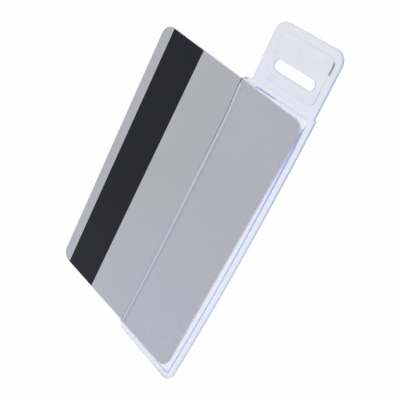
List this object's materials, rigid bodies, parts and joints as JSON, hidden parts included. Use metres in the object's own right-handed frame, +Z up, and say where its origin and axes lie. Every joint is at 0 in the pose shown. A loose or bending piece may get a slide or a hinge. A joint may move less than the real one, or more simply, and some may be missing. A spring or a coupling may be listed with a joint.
{
  "type": "vinyl badge holder",
  "caption": "Clear vinyl half-pocket card holder with a slotted hanging tab, open along one long side, with a blank magnetic-stripe card in its pocket.",
  "frame": {"origin": "centre of the underside's bounding box, on the surface that the holder lies on", "axes": "+Z up out of the card's stripe face, +Y along the holder towards the slotted tab, +X towards the pocket's closed side"},
  "size_m": [0.0576, 0.108, 0.0017],
  "materials": {
    "clear_vinyl": "clear flexible vinyl, glossy, faint blue tint",
    "card_plastic": "satin grey card plastic",
    "stripe_tape": "dark satin magnetic tape"
  },
  "bodies": {
    "root": {"back_sheet": "clear_vinyl", "front_sheet": "clear_vinyl", "card": "card_plastic", "magnetic_stripe": "stripe_tape"}
  },
  "joints": []
}
